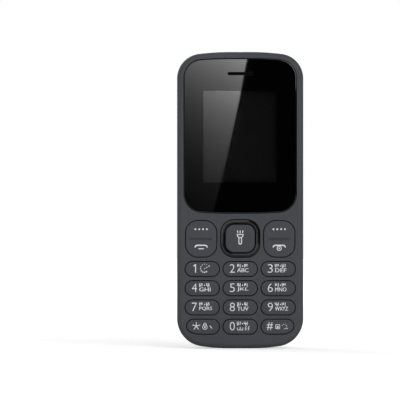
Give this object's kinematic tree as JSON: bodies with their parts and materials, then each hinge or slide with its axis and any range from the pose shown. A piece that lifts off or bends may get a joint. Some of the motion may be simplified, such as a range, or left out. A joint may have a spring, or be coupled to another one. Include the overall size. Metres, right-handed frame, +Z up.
{
  "type": "mobile phone",
  "caption": "Upright bar-shaped mobile phone with a display window, direction key, number pad, clip-on back cover with a sound grille, removable battery and full inner assembly.",
  "frame": {"origin": "middle of the lower end, on the surface that the phone stands on; halfway through its whole depth", "axes": "+X to the phone's right as seen from the front, +Y from its face towards its back cover, +Z up along its length"},
  "size_m": [0.0482, 0.0146, 0.1132],
  "materials": {
    "body_plastic": "dark grey moulded plastic with a fine satin grain",
    "key_plastic": "dark grey satin key caps with light grey printed legends",
    "window_black": "clear window printed black from behind, polished",
    "ring_gloss": "high-gloss black",
    "rubber": "dark silicone rubber",
    "black_plastic": "black glass-filled plastic, spark-eroded grain",
    "dust_mesh": "fine black woven mesh",
    "display_glass": "display glass, switched off",
    "white_plastic": "white backlight frame",
    "flex_film": "amber polyimide film",
    "board_green": "green solder mask on glass-epoxy board",
    "steel": "stamped stainless steel",
    "gold_contact": "gold-plated contact metal",
    "battery_case": "battery can in a dark printed wrap",
    "clear_lens": "clear moulded lens",
    "led_phosphor": "white package with yellow phosphor"
  },
  "bodies": {
    "phone_body": {"front_housing": "body_plastic", "display_window": "window_black", "earpiece_mesh": "dust_mesh", "earpiece": "steel", "lcd_panel": "display_glass", "backlight_frame": "white_plastic", "display_flex": "flex_film", "keypad_rubber": "rubber", "dome_sheet": "steel", "circuit_board": "board_green", "sim_holder_1": "steel", "sim_holder_2": "steel", "memory_card_holder": "steel", "vibration_motor": "steel", "shield_can": "steel", "loudspeaker": "black_plastic", "speaker_mesh": "dust_mesh", "antenna": "gold_contact", "rear_housing": "black_plastic", "headset_jack": "black_plastic", "usb_socket": "steel", "battery_connector": "black_plastic", "contact_spring_1": "gold_contact", "contact_spring_2": "gold_contact", "contact_spring_3": "gold_contact", "torch_lens": "clear_lens", "torch_led": "led_phosphor", "microphone": "steel", "housing_screw_1": "steel", "housing_screw_2": "steel", "housing_screw_3": "steel", "housing_screw_4": "steel", "housing_screw_5": "steel", "housing_screw_6": "steel"},
    "cap_1": {"key_1": "key_plastic"},
    "cap_2": {"key_2": "key_plastic"},
    "cap_3": {"key_3": "key_plastic"},
    "cap_4": {"key_4": "key_plastic"},
    "cap_5": {"key_5": "key_plastic"},
    "cap_6": {"key_6": "key_plastic"},
    "cap_7": {"key_7": "key_plastic"},
    "cap_8": {"key_8": "key_plastic"},
    "cap_9": {"key_9": "key_plastic"},
    "cap_star": {"key_star": "key_plastic"},
    "cap_0": {"key_0": "key_plastic"},
    "cap_hash": {"key_hash": "key_plastic"},
    "cap_call": {"call_key": "key_plastic"},
    "cap_end": {"end_key": "key_plastic"},
    "cap_centre": {"centre_key": "key_plastic"},
    "direction_pad": {"nav_pad": "rubber"},
    "direction_ring": {"nav_ring": "ring_gloss"},
    "cover": {"back_cover": "body_plastic"},
    "battery": {"battery_cell": "battery_case", "battery_cap": "black_plastic"},
    "motor_rotor": {"motor_weight": "steel"}
  },
  "joints": [
    {"name": "press_1", "type": "slide", "parent": "phone_body", "child": "cap_1", "axis": [0, 1, 0], "range_m": [0, 0.0004], "stiffness_N_per_m": 2500},
    {"name": "press_2", "type": "slide", "parent": "phone_body", "child": "cap_2", "axis": [0, 1, 0], "range_m": [0, 0.0004], "stiffness_N_per_m": 2500},
    {"name": "press_3", "type": "slide", "parent": "phone_body", "child": "cap_3", "axis": [0, 1, 0], "range_m": [0, 0.0004], "stiffness_N_per_m": 2500},
    {"name": "press_4", "type": "slide", "parent": "phone_body", "child": "cap_4", "axis": [0, 1, 0], "range_m": [0, 0.0004], "stiffness_N_per_m": 2500},
    {"name": "press_5", "type": "slide", "parent": "phone_body", "child": "cap_5", "axis": [0, 1, 0], "range_m": [0, 0.0004], "stiffness_N_per_m": 2500},
    {"name": "press_6", "type": "slide", "parent": "phone_body", "child": "cap_6", "axis": [0, 1, 0], "range_m": [0, 0.0004], "stiffness_N_per_m": 2500},
    {"name": "press_7", "type": "slide", "parent": "phone_body", "child": "cap_7", "axis": [0, 1, 0], "range_m": [0, 0.0004], "stiffness_N_per_m": 2500},
    {"name": "press_8", "type": "slide", "parent": "phone_body", "child": "cap_8", "axis": [0, 1, 0], "range_m": [0, 0.0004], "stiffness_N_per_m": 2500},
    {"name": "press_9", "type": "slide", "parent": "phone_body", "child": "cap_9", "axis": [0, 1, 0], "range_m": [0, 0.0004], "stiffness_N_per_m": 2500},
    {"name": "press_star", "type": "slide", "parent": "phone_body", "child": "cap_star", "axis": [0, 1, 0], "range_m": [0, 0.0004], "stiffness_N_per_m": 2500},
    {"name": "press_0", "type": "slide", "parent": "phone_body", "child": "cap_0", "axis": [0, 1, 0], "range_m": [0, 0.0004], "stiffness_N_per_m": 2500},
    {"name": "press_hash", "type": "slide", "parent": "phone_body", "child": "cap_hash", "axis": [0, 1, 0], "range_m": [0, 0.0004], "stiffness_N_per_m": 2500},
    {"name": "press_centre", "type": "slide", "parent": "phone_body", "child": "cap_centre", "axis": [0, 1, 0], "range_m": [0, 0.0004], "stiffness_N_per_m": 2500},
    {"name": "rock_call", "type": "hinge", "parent": "phone_body", "child": "cap_call", "pos_m": [-0.0149, -0.00517, 0.04182], "axis": [1, 0, 0], "range_deg": [-2.2, 2.2], "stiffness_Nm_per_rad": 0.2},
    {"name": "rock_end", "type": "hinge", "parent": "phone_body", "child": "cap_end", "pos_m": [0.0149, -0.00517, 0.04182], "axis": [1, 0, 0], "range_deg": [-2.2, 2.2], "stiffness_Nm_per_rad": 0.2},
    {"name": "direction_up_down", "type": "hinge", "parent": "phone_body", "child": "direction_pad", "pos_m": [0, -0.00483, 0.04196], "axis": [1, 0, 0], "range_deg": [-2, 2], "stiffness_Nm_per_rad": 0.2},
    {"name": "direction_left_right", "type": "hinge", "parent": "direction_pad", "child": "direction_ring", "pos_m": [0, -0.00483, 0.04196], "axis": [0, 0, 1], "range_deg": [-2, 2], "stiffness_Nm_per_rad": 0.2},
    {"name": "cover_off", "type": "slide", "parent": "phone_body", "child": "cover", "axis": [0, 1, 0], "range_m": [0, 0.04]},
    {"name": "battery_out", "type": "slide", "parent": "phone_body", "child": "battery", "axis": [0, 1, 0], "range_m": [0, 0.02]},
    {"name": "motor_spin", "type": "hinge", "parent": "phone_body", "child": "motor_rotor", "pos_m": [-0.018, 0.00088, 0.08291], "axis": [1, 0, 0], "continuous": true}
  ],
  "couplings": [
    {"joint": "battery_out", "follows": "cover_off", "ratio": 0.5}
  ]
}
